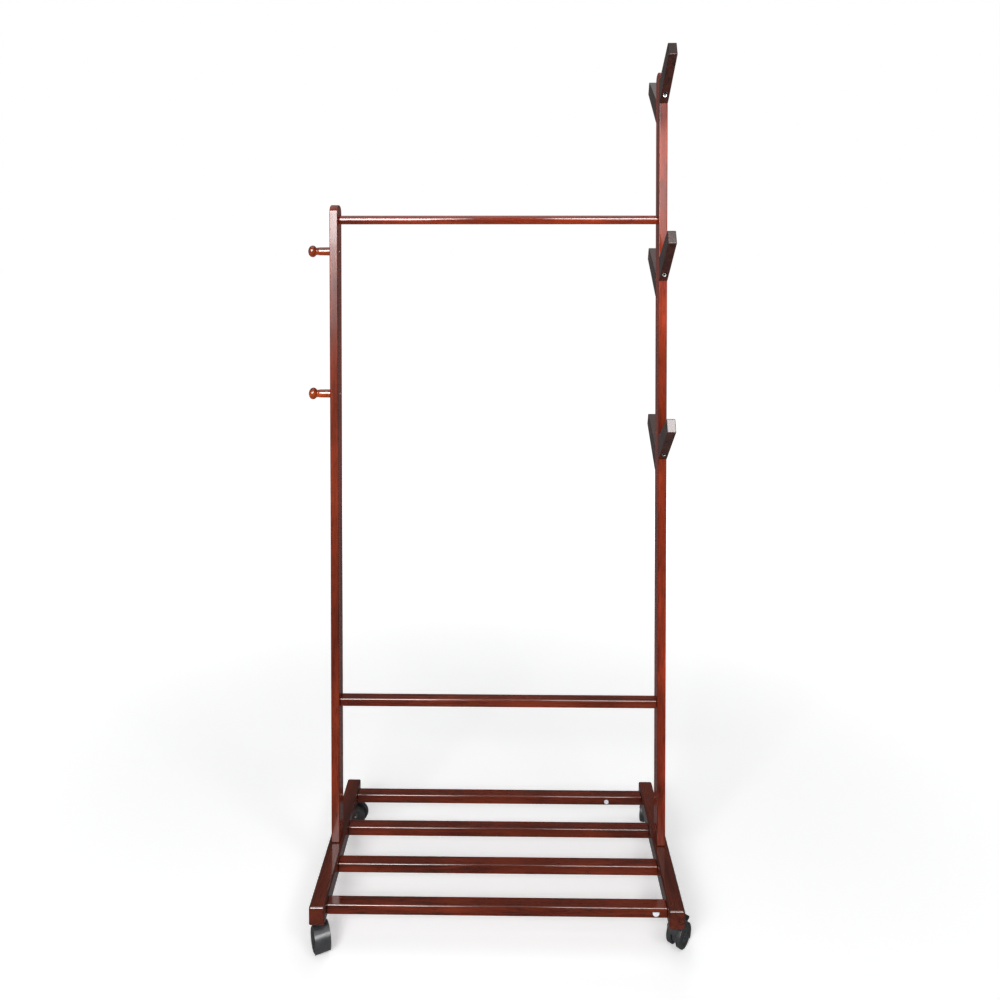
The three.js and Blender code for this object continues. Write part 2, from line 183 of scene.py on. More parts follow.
def skin(name, rings, loop=False, edge=None):
    """A closed surface through rings of points, an array of ring, point and x-y-z: a quad between
    each four neighbours, and one flat face over the first and the last ring, or with loop the last
    ring joined to the first. edge, one value a ring, becomes an attribute by which the lacquer
    darkens the colour, as painted shade."""
    count, around = rings.shape[:2]
    index = np.arange(count * around).reshape(count, around)
    last = count if loop else count - 1
    low, high = index[:last], np.roll(index, -1, 0)[:last]
    quads = np.stack([low, np.roll(low, -1, 1), np.roll(high, -1, 1), high], 2).reshape(-1, 4)
    corners, starts = quads.ravel(), np.arange(len(quads)) * 4
    if not loop:
        corners = np.concatenate([corners, index[0][::-1], index[-1]])
        starts = np.concatenate([starts, len(quads) * 4 + np.array([0, around])])
    mesh = bpy.data.meshes.new(name)
    mesh.vertices.add(count * around)
    mesh.vertices.foreach_set("co", rings.astype(np.float32).ravel())
    mesh.loops.add(len(corners))
    mesh.loops.foreach_set("vertex_index", corners.astype(np.int32))
    mesh.polygons.add(len(starts))
    mesh.polygons.foreach_set("loop_start", starts.astype(np.int32))
    values = np.zeros(count) if edge is None else np.asarray(edge, float)
    mark = mesh.attributes.new("edge", "FLOAT", "POINT")
    mark.data.foreach_set("value", np.repeat(values, around).astype(np.float32))
    mesh.update(calc_edges=True)
    mesh.validate()
    piece = bpy.data.objects.new(name, mesh)
    bpy.context.collection.objects.link(piece)
    return piece


def board(name, outline, thick, ease, middle=(0, 0, 0), across=(1, 0, 0), along=(0, 1, 0), steps=4):
    """A board: its outline lies along one direction and the third, and its thickness across. Towards
    each face the outline draws in along its normals by ease times one minus the cosine of a quarter
    turn, as the section moves out by ease times its sine."""
    points, normals = outline
    turn = np.linspace(0, pi / 2, steps + 1)
    out = np.concatenate([[-HOLD * ease], ease * np.sin(turn), [ease]]) + thick / 2 - ease
    inset = np.concatenate([[0], ease * (1 - np.cos(turn)), [ease + HOLD * ease]])
    out, inset = np.concatenate([-out[::-1], out]), np.concatenate([inset[::-1], inset])
    flat = points[None] - inset[:, None, None] * normals[None]
    across, along = np.array(across, float), np.array(along, float)
    up = np.cross(across, along)
    rings = out[:, None, None] * across + flat[..., :1] * along + flat[..., 1:] * up + np.array(middle)
    # painted shade: a weight on each rounded edge, greatest midway round it, by which the lacquer darkens
    # the colour
    edge_shade_weight = np.sin(np.pi * np.clip(inset / ease, 0, 1))
    return skin(name, rings, edge=edge_shade_weight)


WELD = 0.002 * MM


def combine(piece, tools, how="DIFFERENCE"):
    """Cuts the tools from a piece, or joins them to it, and removes them. Points that lie closer than
    the weld distance after a cut are joined, so that no slivers stay open."""
    for tool in tools:
        step = piece.modifiers.new(how.lower(), "BOOLEAN")
        step.operation, step.solver, step.object = how, "EXACT", tool
    bpy.context.view_layer.update()
    solid = piece.evaluated_get(bpy.context.evaluated_depsgraph_get())
    mesh = bpy.data.meshes.new_from_object(solid)
    welded = bmesh.new()
    welded.from_mesh(mesh)
    bmesh.ops.remove_doubles(welded, verts=welded.verts, dist=WELD)
    bmesh.ops.dissolve_degenerate(welded, edges=welded.edges, dist=WELD)
    welded.to_mesh(mesh)
    welded.free()
    mesh.validate()
    piece.modifiers.clear()
    piece.data = mesh
    for tool in tools:
        bpy.data.objects.remove(tool)
    return piece


def turned(profile, axis=(0, 0, 1), middle=(0, 0, 0), sides=48, key=None, name="tool", loop=False):
    """A turned shape about an axis: each ring is the profile's radius at the profile's height. Where
    a profile point has a third value, the ring's radius goes that share of the way to the key's
    outline, which is a multiple of the radius for each angle."""
    profile = np.array([(p[0], p[1], p[2] if len(p) > 2 else 0) for p in profile], float)
    angle = np.arange(sides) * 2 * pi / sides
    outline = np.ones(sides) if key is None else key(angle)
    radius = profile[:, :1] * (1 + profile[:, 2:] * (outline[None] - 1))
    axis = np.array(axis, float) / np.linalg.norm(axis)
    first = np.cross(axis, (0.0, 0.0, 1.0) if abs(axis[2]) < 0.9 else (0.0, 1.0, 0.0))
    first /= np.linalg.norm(first)
    second = np.cross(axis, first)
    rings = (radius * np.cos(angle))[..., None] * first + (radius * np.sin(angle))[..., None] * second
    rings = rings + profile[:, 1, None, None] * axis + np.array(middle)
    return skin(name, rings, loop=loop)


def hole(middle, axis, radius, low, high, sides=40):
    """A round plug along an axis, from one distance to another, which drills a hole."""
    tiny = 0.02 * radius
    return turned([(tiny, low), (radius, low), (radius, high), (tiny, high)], axis, middle, sides)


def dress(piece, body, replaced, material, crease=32):
    """The last step of a piece: smooth shading up to a crease angle, its finish, its body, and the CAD
    nodes that it stands for."""
    mesh = piece.data
    mesh.polygons.foreach_set("use_smooth", np.ones(len(mesh.polygons), bool))
    mesh.set_sharp_from_angle(angle=radians(crease))
    mesh.materials.clear()
    mesh.materials.append(material)
    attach(piece, body)
    if replaced:
        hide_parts(*replaced)
    return piece


def lacquered(name, grain, deep, warm, shift, gloss=0.13, coat=0.9):
    """Stained and lacquered wood. Noise drawn out fourteenfold along the grain gives the figure, a
    finer one the pores, which take more stain; the colour is darker on the rounded edges, painted
    shade. The lacquer's roughness wanders a little, and its skin sinks slightly into the pores."""
    material = bpy.data.materials.new(name)
    material.use_nodes = True
    tree = material.node_tree
    link, new = tree.links.new, tree.nodes.new
    surface = tree.nodes["Principled BSDF"]
    place = new("ShaderNodeTexCoord")
    turn = new("ShaderNodeMapping")
    turn.inputs["Rotation"].default_value = grain
    turn.inputs["Location"].default_value = shift
    stretch = new("ShaderNodeMapping")
    stretch.inputs["Scale"].default_value = (1, 1, 0.07)
    link(place.outputs["Object"], turn.inputs["Vector"])
    link(turn.outputs["Vector"], stretch.inputs["Vector"])
    figure = new("ShaderNodeTexNoise")
    figure.inputs["Scale"].default_value = 62
    figure.inputs["Detail"].default_value = 7
    figure.inputs["Roughness"].default_value = 0.62
    figure.inputs["Distortion"].default_value = 0.55
    pores = new("ShaderNodeTexNoise")
    pores.inputs["Scale"].default_value = 760
    pores.inputs["Detail"].default_value = 3
    pores.inputs["Roughness"].default_value = 0.5
    cloud = new("ShaderNodeTexNoise")
    cloud.inputs["Scale"].default_value = 9
    cloud.inputs["Detail"].default_value = 2
    for texture in (figure, pores):
        link(stretch.outputs["Vector"], texture.inputs["Vector"])
    link(turn.outputs["Vector"], cloud.inputs["Vector"])
    stain = new("ShaderNodeValToRGB")
    bands = stain.color_ramp
    bands.elements[0].position, bands.elements[0].color = 0.30, (*deep, 1)
    bands.elements[1].position, bands.elements[1].color = 0.72, (*warm, 1)
    between = bands.elements.new(0.5)
    between.color = (*[0.42 * a + 0.58 * b for a, b in zip(deep, warm)], 1)
    link(figure.outputs["Fac"], stain.inputs["Fac"])
    open_pores = new("ShaderNodeMapRange")
    open_pores.inputs["From Min"].default_value = 0.30
    open_pores.inputs["From Max"].default_value = 0.47
    open_pores.inputs["To Min"].default_value = 0.5
    open_pores.inputs["To Max"].default_value = 1.0
    link(pores.outputs["Fac"], open_pores.inputs["Value"])
    # painted shade: the colour darkens to half on the rounded edges, read from the edge attribute
    edge = new("ShaderNodeAttribute")
    edge.attribute_name = "edge"
    rim = new("ShaderNodeMapRange")
    rim.inputs["To Min"].default_value = 1.0
    rim.inputs["To Max"].default_value = 0.5
    link(edge.outputs["Fac"], rim.inputs["Value"])
    clouds = new("ShaderNodeMapRange")
    clouds.inputs["From Min"].default_value = 0.3
    clouds.inputs["From Max"].default_value = 0.7
    clouds.inputs["To Min"].default_value = 0.72
    clouds.inputs["To Max"].default_value = 1.18
    link(cloud.outputs["Fac"], clouds.inputs["Value"])
    depth = new("ShaderNodeMath")
    depth.operation = "MULTIPLY"
    link(open_pores.outputs["Result"], depth.inputs[0])
    link(rim.outputs["Result"], depth.inputs[1])
    clouded_depth = new("ShaderNodeMath")
    clouded_depth.operation = "MULTIPLY"
    link(depth.outputs["Value"], clouded_depth.inputs[0])
    link(clouds.outputs["Result"], clouded_depth.inputs[1])
    tint = new("ShaderNodeVectorMath")
    tint.operation = "SCALE"
    link(stain.outputs["Color"], tint.inputs[0])
    link(clouded_depth.outputs["Value"], tint.inputs["Scale"])
    link(tint.outputs["Vector"], surface.inputs["Base Color"])
    sheen = new("ShaderNodeMapRange")
    sheen.inputs["From Min"].default_value = 0.3
    sheen.inputs["From Max"].default_value = 0.7
    sheen.inputs["To Min"].default_value = gloss - 0.02
    sheen.inputs["To Max"].default_value = gloss + 0.04
    link(cloud.outputs["Fac"], sheen.inputs["Value"])
    link(sheen.outputs["Result"], surface.inputs["Roughness"])
    sink = new("ShaderNodeBump")
    sink.inputs["Strength"].default_value = 0.012
    sink.inputs["Distance"].default_value = 0.15 * MM
    link(open_pores.outputs["Result"], sink.inputs["Height"])
    link(sink.outputs["Normal"], surface.inputs["Normal"])
    surface.inputs["Specular IOR Level"].default_value = 0.5
    surface.inputs["Coat Weight"].default_value = coat
    surface.inputs["Coat Roughness"].default_value = 0.06
    return material


ALONG_X, ALONG_Y, ALONG_Z = (0, -pi / 2, 0), (pi / 2, 0, 0), (0, 0, 0)
RED_DEEP, RED_WARM = (0.055, 0.0072, 0.0028), (0.205, 0.026, 0.0055)


def box_of(node):
    """A CAD node's middle and size."""
    low, high = (np.array(corner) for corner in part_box(node))
    return (low + high) / 2, high - low


def rectangle(width, height):
    """The four corners of a rectangle round the origin, anticlockwise."""
    x, y = width / 2, height / 2
    return [(-x, -y), (x, -y), (x, y), (-x, y)]


CORNERS = ("front_left", "front_right", "rear_left", "rear_right")
for number, side in enumerate(("left", "right")):
    middle, (thick, length, height) = box_of(f"{side}_foot_beam")
    outline = rounded_outline(rectangle(length, height), 1.25 * EASE)
    beam = board(f"{side}_beam_wood", outline, thick, EASE, middle)
    under = middle - (0, 0, height / 2)
    tools = [hole(under, (0, 0, 1), BOLT_HOLE, -MM, COUNTERBORE)]
    for corner in CORNERS:
        if corner.endswith(side):
            stem, size = box_of(f"{corner}_stem")
            reach = stem[2] + size[2] / 2 - under[2]
            tools.append(hole((stem[0], stem[1], under[2]), (0, 0, 1), 4.4 * MM, -MM, reach + MM))
    combine(beam, tools)
    shift = (number * 3.1, 0.4, 1.7)
    wood = lacquered(f"{side} beam lacquer", ALONG_Y, RED_DEEP, (0.15, 0.022, 0.006), shift, 0.17)
    dress(beam, "frame", [f"{side}_foot_beam"], wood)

# ---------------------------------------------------------------- slat screws
# One steel wood screw holds each slat's end, driven through the foot beam from its outer face, its
# flat head let in flush. They aren't CAD nodes, so they ride with the frame.
HEAD = 3.6 * MM


def zinc(name, base=(0.66, 0.67, 0.69), rough=0.24):
    """Bright zinc plating over steel: fully metallic, with a fine brushed noise in its roughness and
    faint dull clouds where the plating has been handled."""
    material = bpy.data.materials.new(name)
    material.use_nodes = True
    tree = material.node_tree
    link, new = tree.links.new, tree.nodes.new
    surface = tree.nodes["Principled BSDF"]
    place = new("ShaderNodeTexCoord")
    cloud = new("ShaderNodeTexNoise")
    cloud.inputs["Scale"].default_value = 420
    cloud.inputs["Detail"].default_value = 4
    link(place.outputs["Object"], cloud.inputs["Vector"])
    dull = new("ShaderNodeMapRange")
    dull.inputs["From Min"].default_value = 0.3
    dull.inputs["From Max"].default_value = 0.7
    dull.inputs["To Min"].default_value = rough - 0.08
    dull.inputs["To Max"].default_value = rough + 0.12
    link(cloud.outputs["Fac"], dull.inputs["Value"])
    link(dull.outputs["Result"], surface.inputs["Roughness"])
    shade = new("ShaderNodeValToRGB")
    shade.color_ramp.elements[0].position = 0.3
    shade.color_ramp.elements[0].color = (*[0.72 * c for c in base], 1)
    shade.color_ramp.elements[1].position = 0.62
    shade.color_ramp.elements[1].color = (*base, 1)
    link(cloud.outputs["Fac"], shade.inputs["Fac"])
    link(shade.outputs["Color"], surface.inputs["Base Color"])
    surface.inputs["Metallic"].default_value = 1.0
    return material


def cross_key(angle):
    """The outline of a cross recess: a small round with four arms, as the fourth power of a cosine."""
    return 0.42 + 0.58 * np.abs(np.cos(2 * angle)) ** 4


def hexagon_key(angle):
    """The outline of a hexagon: its flats' distance over the cosine of the turn from a flat."""
    return cos(pi / 6) / np.cos((angle + pi / 6) % (pi / 3) - pi / 6)


def wood_screw(name, face, axis, length, head=HEAD, shank=1.9 * MM, thick=2.6 * MM, pitch=1.6 * MM):
    """A screw that lies inwards from a face. The axis points out of the wood. Its shank's radius
    swells to the thread's crest as a triangle wave of its depth less its turn."""
    coarse = [
        (0.05 * MM, -length), (0.5 * MM, -length + 0.8 * MM), (0.8 * shank, -length + 4 * MM),
    ]
    turns = np.arange(-length + 5 * MM, -thick - 5 * MM, pitch / 6)
    core = [(0.78 * shank, z) for z in turns]
    rest = [
        (shank, -thick - 4 * MM), (shank, -thick), (head - 0.15 * MM, -thick), (head, -thick + 0.2 * MM),
        (head, -0.25 * MM), (head - 0.25 * MM, 0), (0.66 * head, 0), (0.64 * head, 0, 1),
        (0.5 * head, -1.5 * MM, 1), (0.1 * head, -1.9 * MM),
    ]
    piece = turned(coarse + core + rest, axis, face, 32, cross_key, name)
    co = np.empty(len(piece.data.vertices) * 3, np.float32)
    piece.data.vertices.foreach_get("co", co)
    co = co.reshape(-1, 32, 3).astype(float)
    axis = np.array(axis, float) / np.linalg.norm(axis)
    depth = (co - np.array(face)) @ axis
    line = np.array(face) + depth[..., None] * axis
    share = (depth / pitch - np.arange(32) / 32) % 1
    number = np.arange(len(co))
    threaded = (number >= len(coarse)) & (number < len(coarse) + len(turns))
    swell = 1 + 0.3 * (1 - np.abs(2 * share - 1)) * threaded[:, None]
    co = line + (co - line) * swell[..., None]
    piece.data.vertices.foreach_set("co", co.astype(np.float32).ravel())
    piece.data.update()
    return piece


plating = zinc("bright zinc")
SLATS = ("front_slat", "front_middle_slat", "rear_middle_slat", "rear_slat")
for side, sign in (("left", -1), ("right", 1)):
    beam_middle, beam_size = box_of(f"{side}_foot_beam")
    face = beam_middle[0] + sign * (beam_size[0] / 2 + 0.05 * MM)
    beam = bpy.data.objects[f"{side}_beam_wood"]
    tools = []
    for slat in SLATS:
        middle, size = box_of(slat)
        place = (face, middle[1], middle[2])
        tools.append(hole(place, (sign, 0, 0), HEAD + 0.35 * MM, -3 * MM, MM))
        tools.append(hole(place, (sign, 0, 0), 2.8 * MM, -30 * MM, 0))
        screw = wood_screw(f"{side}_{slat}_screw", place, (sign, 0, 0), 27.5 * MM)
        dress(screw, "frame", [], plating)
    combine(beam, tools)
    beam.data.set_sharp_from_angle(angle=radians(32))

# ---------------------------------------------------------------- posts
# Two upright boards of the same wood, the right one taller. Their front and back edges are rounded
# over and their tops are cut to a low crown. Each stands on its beam and is bored for its fastenings.
CROWN = 15 * MM
POST_EASE = 1.5 * MM
SCREW_HEAD, SCREW_SEAT, SCREW_BORE = 4.2 * MM, 2.9 * MM, 2.9 * MM
CLEAR = 0.3 * MM


def crowned(width, height, crown, radius):
    """The outline of a post: two rounded corners at the foot, and half an ellipse at the top, whose
    normals point along x over its half-width squared and y over its height squared."""
    low, low_normals = rounded_outline(rectangle(width, height), radius)
    share = len(low) // 4
    turn = np.linspace(0, pi, 37)
    half = width / 2
    top = np.stack([half * np.cos(turn), height / 2 - crown + crown * np.sin(turn)], 1)
    top_normals = np.stack([np.cos(turn) / half, np.sin(turn) / crown], 1)
    top_normals /= np.linalg.norm(top_normals, axis=1, keepdims=True)
    shoulder = np.array([[half, height / 2 - crown - 0.4 * MM]]), np.array([[1.0, 0.0]])
    points = np.concatenate([low[share : 2 * share], shoulder[0], top, shoulder[0] * (-1, 1), low[:share]])
    normals = np.concatenate([
        low_normals[share : 2 * share], shoulder[1], top_normals, -shoulder[1], low_normals[:share]])
    return points, normals


PEGS, HOOKS = ("upper", "lower"), ("top", "middle", "low")
for number, (side, sign) in enumerate((("left", -1), ("right", 1))):
    middle, (thick, deep, height) = box_of(f"{side}_post")
    post = board(f"{side}_post_wood", crowned(deep, height, CROWN, 2 * MM), thick, POST_EASE, middle)
    outer, inner = middle[0] + sign * thick / 2, middle[0] - sign * thick / 2
    tools = []
    for fixing in ("rod", "bar"):
        z = box_of(f"{side}_{fixing}_screw")[0][2]
        tools.append(hole((outer, middle[1], z), (sign, 0, 0), SCREW_HEAD + CLEAR, -SCREW_SEAT, MM))
        tools.append(hole((outer, middle[1], z), (sign, 0, 0), SCREW_BORE, -thick - MM, 0))
    nut, size = box_of(f"{side}_barrel_nut")
    tools.append(hole((inner, nut[1], nut[2]), (-sign, 0, 0), size[2] / 2 + CLEAR, -12.6 * MM, MM))
    if side == "left":
        for peg in PEGS:
            z = box_of(f"{peg}_peg_screw")[0][2]
            tools.append(hole((inner, middle[1], z), (1, 0, 0), SCREW_HEAD + CLEAR, -SCREW_SEAT, MM))
            tools.append(hole((inner, middle[1], z), (1, 0, 0), SCREW_BORE, -thick - MM, 0))
    combine(post, tools)
    # painted light: the right post, of the same wood as the left, gets a brighter red, a lit copy of it
    warm = (0.34, 0.032, 0.0045) if side == "right" else (0.24, 0.028, 0.005)
    wood = lacquered(f"{side} post lacquer", ALONG_Z, RED_DEEP, warm, (0.2, 1.3, 2.6 * number), 0.2, 0.25)
    dress(post, "frame", [f"{side}_post"], wood)

# ---------------------------------------------------------------- post bolts and barrel nuts
# A steel bolt comes up through each foot beam into a steel barrel nut that lies across the post, and
# pulls the post down on the beam. Only the bolt's socket and the nut's slotted end can be seen.
for side, sign in (("left", -1), ("right", 1)):
    middle, size = box_of(f"{side}_post_bolt")
    foot, top, head = middle[2] - size[2] / 2, middle[2] + size[2] / 2, 6 * MM
    shank = 3 * MM
    rings = [
        (0.3 * MM, 3 * MM), (2.4 * MM, 3 * MM, 1), (2.6 * MM, 0, 1), (3.2 * MM, 0), (head - 0.6 * MM, 0),
        (head - 0.2 * MM, 0.15 * MM), (head, 0.6 * MM), (head, 4.8 * MM), (head - 0.2 * MM, 5 * MM),
        (shank, 5 * MM), (shank, size[2] - 14 * MM),
    ]
    for groove in np.arange(size[2] - 13.5 * MM, size[2] - 1.5 * MM, MM):
        rings += [(2.6 * MM, groove), (shank, groove + 0.5 * MM)]
    rings += [(2.2 * MM, size[2]), (0.1 * MM, size[2])]
    bolt = turned(rings, (0, 0, 1), (middle[0], middle[1], foot), 48, hexagon_key, f"{side}_post_bolt_steel")
    dress(bolt, "frame", [f"{side}_post_bolt"], plating)

    middle, size = box_of(f"{side}_barrel_nut")
    face = middle + (-sign * size[0] / 2, 0, 0)
    radius, long = size[2] / 2, size[0]
    rings = [
        (0.1 * MM, -long), (radius - 0.4 * MM, -long), (radius, -long + 0.4 * MM), (radius, -0.4 * MM),
        (radius - 0.1 * MM, -0.15 * MM), (radius - 0.4 * MM, 0), (0.1 * MM, 0),
    ]
    nut = turned(rings, (-sign, 0, 0), face, 48, None, f"{side}_barrel_nut_steel")
    slot = rounded_outline(rectangle(20 * MM, 1.3 * MM), 0.2 * MM)
    slot_cut = board("tool", slot, 2.4 * MM, 0.1 * MM, face)
    bore = hole(middle, (0, 0, 1), 3.3 * MM, -8 * MM, 8 * MM)
    combine(nut, [slot_cut, bore])
    dress(nut, "frame", [f"{side}_barrel_nut"], plating)

# ---------------------------------------------------------------- hanging rod and lower bar
# The hanging rod is a round dowel and the lower bar a square stick with rounded edges, of the same
# stained wood. Each is held between the posts by a screw into each end.
PILOT, PILOT_DEPTH = 2.3 * MM, 40 * MM
middle, size = box_of("hanging_rod")
half, radius = size[0] / 2, size[2] / 2
rings = [
    (0.1 * MM, -half + PILOT_DEPTH), (PILOT, -half + PILOT_DEPTH), (PILOT, -half), (radius - MM, -half),
    (radius - 0.25 * MM, -half + 0.3 * MM), (radius, -half + MM), (radius, -half + 2 * MM),
    (radius, half - 2 * MM), (radius, half - MM), (radius - 0.25 * MM, half - 0.3 * MM), (radius - MM, half),
    (PILOT, half), (PILOT, half - PILOT_DEPTH), (0.1 * MM, half - PILOT_DEPTH),
]
rod = turned(rings, (1, 0, 0), middle, 72, None, "hanging_rod_wood")
wood = lacquered("rod lacquer", ALONG_X, RED_DEEP, (0.31, 0.030, 0.0045), (5.2, 0.9, 0.3), 0.12)
dress(rod, "frame", ["hanging_rod"], wood)


def stick(name, node, ease, depth):
    """A square stick along X: its rounded cross-section is the outline, and its length the thickness.
    A pilot hole of the given depth goes in at both ends."""
    middle, size = box_of(node)
    outline = rounded_outline(rectangle(size[1], size[2]), ease + 0.1 * MM, 6)
    made = board(name, outline, size[0], min(ease, 0.8 * MM), middle)
    ends = [hole(middle + (s * size[0] / 2, 0, 0), (s, 0, 0), PILOT, -depth, MM) for s in (-1, 1)]
    return combine(made, ends)


bar = stick("lower_bar_wood", "lower_cross_bar", 3 * MM, PILOT_DEPTH)
wood = lacquered("bar lacquer", ALONG_X, RED_DEEP, RED_WARM, (1.2, 4.9, 0.3))
dress(bar, "frame", ["lower_cross_bar"], wood)

# ---------------------------------------------------------------- screws of the rod, bar and pegs
# Zinc-plated steel wood screws with flat heads and cross recesses, let in flush with the posts'
# faces: two each for the rod and the bar, and one behind each peg.
for side, sign in (("left", -1), ("right", 1)):
    for fixing in ("rod", "bar"):
        node = f"{side}_{fixing}_screw"
        middle, size = box_of(node)
        face = middle + (sign * size[0] / 2, 0, 0)
        screw = wood_screw(f"{node}_steel", face, (sign, 0, 0), size[0], SCREW_HEAD)
        dress(screw, "frame", [node], plating)
for peg in PEGS:
    middle, size = box_of(f"{peg}_peg_screw")
    face = middle + (size[0] / 2, 0, 0)
    screw = wood_screw(f"{peg}_peg_screw_steel", face, (1, 0, 0), size[0], SCREW_HEAD)
    dress(screw, "frame", [f"{peg}_peg_screw"], plating)

# ---------------------------------------------------------------- pegs
# Two wooden pegs turned on a lathe, a straight shank with a mushroom knob, stained and lacquered,
# and pulled against the left post's outer face by the screw from inside.
for number, peg in enumerate(PEGS):
    middle, size = box_of(f"{peg}_peg")
    root, reach = middle + (size[0] / 2, 0, 0), size[0]
    knob, shank, knob_length = size[2] / 2, 8 * MM, 17 * MM
    neck = reach - knob_length
    turn = np.linspace(0.17 * pi, pi, 22)
    dome = [
        (max(knob * sin(t), 0.1 * MM), neck + knob_length * (1 - cos(t)) / 2) for t in turn
    ]
    cove = [
        (shank - 0.4 * MM - 0.5 * MM * sin(t), neck - 3 * MM + 3 * MM * t / pi)
        for t in np.linspace(0, pi, 9)
    ]
    rings = [
        (0.1 * MM, neck - 2 * MM), (PILOT, neck - 2 * MM), (PILOT, 0), (shank - 0.6 * MM, 0),
        (shank - 0.1 * MM, 0.25 * MM), (shank, 0.8 * MM), (shank, 2 * MM), (shank - 0.2 * MM, neck - 6 * MM),
    ] + cove + dome
    wooden = turned(rings, (-1, 0, 0), root, 64, None, f"{peg}_peg_wood")
    shift = (2.2, 3.3, number * 1.9)
    wood = lacquered(f"{peg} peg lacquer", ALONG_X, RED_DEEP, (0.40, 0.055, 0.006), shift, 0.14)
    dress(wooden, "frame", [f"{peg}_peg"], wood, 50)

# ---------------------------------------------------------------- hooks
# Six tapering arms sawn from a darker-stained board, their edges eased and their ends leaning back,
# bolted in pairs to the tall post's front and back. A bored seat in each lets in the bolt's head.
HOOK_SEAT = 45.6 * MM
HOOK_TIP = 23.5 * MM
HOOK_LEAN = 10 * MM
BOLT_RISE = 13.5 * MM
BOLT_SEAT = 10.5 * MM
DARK_DEEP, DARK_WARM = (0.016, 0.0058, 0.0045), (0.060, 0.014, 0.0085)
slope = np.arctan2(62, 86)  # the arm's middle line climbs from the seat's middle to the tip's
for end, sign in (("front", 1), ("rear", -1)):
    wood = lacquered(f"{end} hook lacquer", (sign * (pi / 2 - slope), 0, 0), DARK_DEEP, DARK_WARM,
                     (0.7, 0.2, 1.1 * sign), 0.24, 0.35)
    for level in HOOKS:
        middle, size = box_of(f"{level}_{end}_hook")
        face = middle + (0, sign * size[1] / 2, -size[2] / 2)
        corners = [(0, 0), (0, HOOK_SEAT), (HOOK_LEAN - size[1], size[2]), (-size[1], size[2] - HOOK_TIP)]
        arm = board(f"{level}_{end}_hook_wood", rounded_outline(corners, 1.4 * MM), size[0], 1.1 * MM,
                    face, (sign, 0, 0), (0, sign, 0))
        out = (0, -sign, 0)
        at = face + (0, 0, BOLT_RISE)
        tools = [hole(at, out, 2.8 * MM, -MM, 60 * MM), hole(at, out, 4.8 * MM, BOLT_SEAT, 80 * MM)]
        combine(arm, tools)
        dress(arm, "frame", [f"{level}_{end}_hook"], wood)

# ---------------------------------------------------------------- hook bolts
# Zinc-plated steel bolts with round heads and hexagon sockets, one through each hook into the post,
# their heads sunk below the slanted face.
# painted shade: a near-black metal lines each bolt's hexagon socket, where shade falls in the recess
socket_painted_shade = zinc("socket shade", (0.05, 0.05, 0.055), 0.5)
for end, sign in (("front", 1), ("rear", -1)):
    for level in HOOKS:
        node = f"{level}_{end}_hook_bolt"
        middle, size = box_of(node)
        out = (0, -sign, 0)
        tail = middle + (0, sign * size[1] / 2, 0)
        long, head, shank = size[1], 4.2 * MM, 2.5 * MM
        under = long - 4 * MM
        rings = [(0.1 * MM, 0), (2.0 * MM, 0)]
        for groove in np.arange(0.6 * MM, 16 * MM, 0.8 * MM):
            rings += [(2.1 * MM, groove), (shank, groove + 0.4 * MM)]
        rings += [
            (shank, 17 * MM), (shank, under), (head - 0.2 * MM, under), (head, under + 0.2 * MM),
            (head, long - 1.1 * MM), (head - 0.35 * MM, long - 0.3 * MM), (head - 0.9 * MM, long),
            (2.5 * MM, long), (2.3 * MM, long - 0.15 * MM, 1), (2.25 * MM, long - 2.8 * MM, 1),
            (0.1 * MM, long - 3 * MM),
        ]
        bolt = turned(rings, out, tail, 48, hexagon_key, f"{node}_steel")
        dress(bolt, "frame", [node], plating)
        bolt.data.materials.append(socket_painted_shade)
        # the socket's walls and floor take the painted shade
        deep = np.arange(len(bolt.data.polygons)) >= (len(rings) - 3) * 48
        floor_of_socket = np.where(deep, 1, 0)
        floor_of_socket[-2] = 0
        bolt.data.polygons.foreach_set("material_index", floor_of_socket.astype(np.int32))

# ---------------------------------------------------------------- base slats
# Four sticks of stained wood with rounded edges, lying between the foot beams with a gap between
# each, where shoes stand. A screw through the beam holds each end.
CAP_HOLE = 4.9 * MM
CAP_BAND = 1.5 * MM


def cap_outline(width, grow=0):
    """The front cap's outline in X and Z, anticlockwise from the front: a flat top with small round
    corners, a narrow band below it, and half a circle as wide as the cap."""
    half = width / 2 + grow
    top = (CAP_BAND + width / 2) / 2
    turn = np.linspace(pi, 2 * pi, 33)
    ease = np.linspace(0, pi / 2, 5)
    corner = 0.5 * MM
    inner, high = half - corner, top + grow - corner
    right = np.stack([inner + corner * np.cos(ease), high + corner * np.sin(ease)], 1)
    left = np.stack([-inner - corner * np.sin(ease), high + corner * np.cos(ease)], 1)
    bowl = np.stack([half * np.cos(turn), top - CAP_BAND + half * np.sin(turn)], 1)
    points = np.concatenate([right, left, bowl])
    normals = np.concatenate([
        np.stack([np.cos(ease), np.sin(ease)], 1), np.stack([-np.sin(ease), np.cos(ease)], 1),
        np.stack([np.cos(turn), np.sin(turn)], 1)])
    return points, normals


for number, node in enumerate(SLATS):
    slat = stick(f"{node}_wood", node, 2.5 * MM, 20 * MM)
    if node in ("front_slat", "rear_slat"):
        middle, size = box_of(f"{node}_cap")
        front = middle - (0, size[1] / 2, 0)
        if node == "front_slat":
            seat = board("tool", cap_outline(size[0], 0.3 * MM), 2 * size[1] - 1.0 * MM, 0.05 * MM,
                         (middle[0], front[1] + 0.8 * MM, middle[2]), (0, -1, 0), (1, 0, 0))
        else:
            seat = hole(front, (0, 1, 0), CAP_HOLE, -3 * MM, size[1] + 0.3 * MM)
        combine(slat, [seat])
    wood = lacquered(f"{node} lacquer", ALONG_X, RED_DEEP, RED_WARM, (0.8 * number, 2.3 - number, 0.6))
    dress(slat, "frame", [node], wood)

